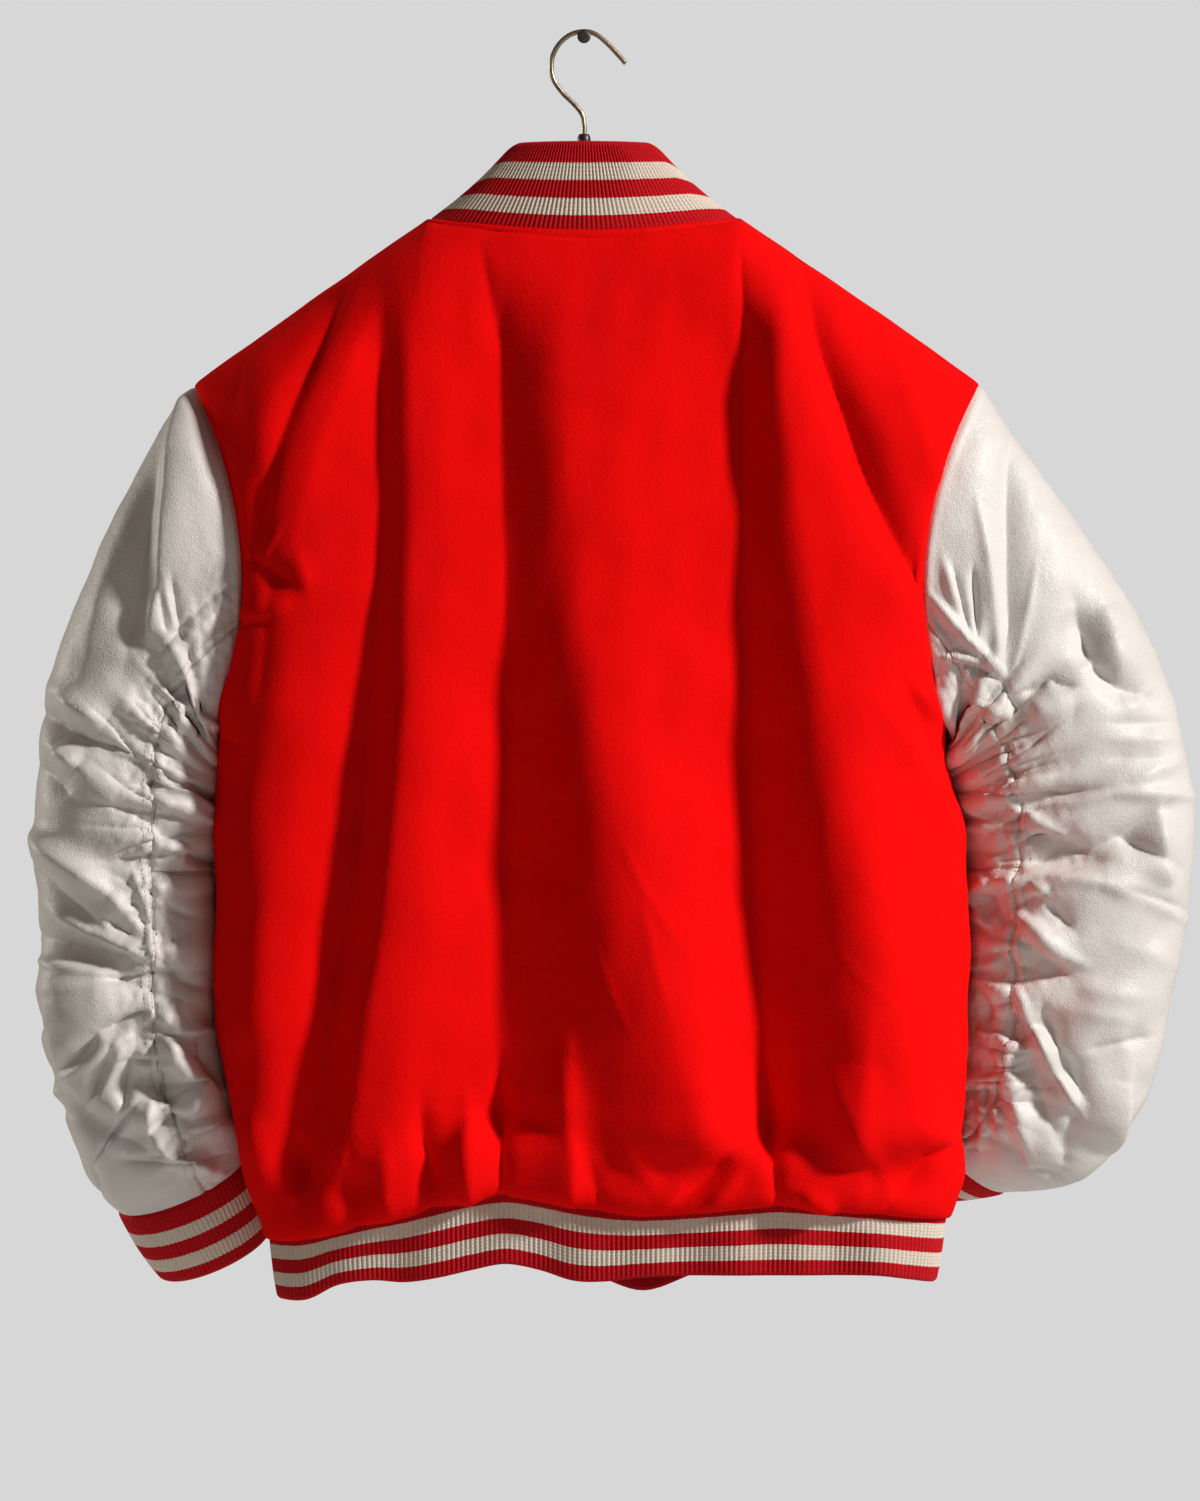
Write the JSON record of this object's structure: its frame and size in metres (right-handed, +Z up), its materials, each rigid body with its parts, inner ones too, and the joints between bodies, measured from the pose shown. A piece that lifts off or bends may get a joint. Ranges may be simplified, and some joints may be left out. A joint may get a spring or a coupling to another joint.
{
  "type": "varsity jacket on a hanger with a wall nail",
  "caption": "Varsity jacket with a wool body, leather sleeves and striped rib collar, cuffs and hem, hanging on a wooden hanger from a wall nail.",
  "frame": {"origin": "on the wall nail's axis, in the plane of the hanger's hook, where the jacket and its hanger are held", "axes": "+Z up; -Y out of the jacket's back; +X towards its right side, which is the wearer's right"},
  "size_m": [0.8394, 0.2299, 0.9172],
  "materials": {
    "wool": "matte wool melton",
    "leather": "satin pebbled leather",
    "rib": "rib knit with cream stripes",
    "snap_metal": "satin metal",
    "dark_wood": "varnished dark wood",
    "aged_wire": "aged plated wire",
    "nail_steel": "dark steel"
  },
  "bodies": {
    "root": {"back_panel": "wool", "front_left": "wool", "front_right": "wool", "collar_rib": "rib", "hem_rib": "rib", "cuff_left": "rib", "cuff_right": "rib", "sleeve_left_outer": "leather", "sleeve_left_inner_upper": "leather", "sleeve_left_inner_lower": "leather", "sleeve_right_outer": "leather", "sleeve_right_inner_upper": "leather", "sleeve_right_inner_lower": "leather", "snap_1": "snap_metal", "snap_2": "snap_metal", "snap_3": "snap_metal", "snap_4": "snap_metal", "snap_5": "snap_metal", "snap_6": "snap_metal", "snap_7": "snap_metal", "hanger_bar": "dark_wood", "hanger_knob": "dark_wood", "hanger_hook": "aged_wire", "wall_nail": "nail_steel"}
  },
  "joints": []
}
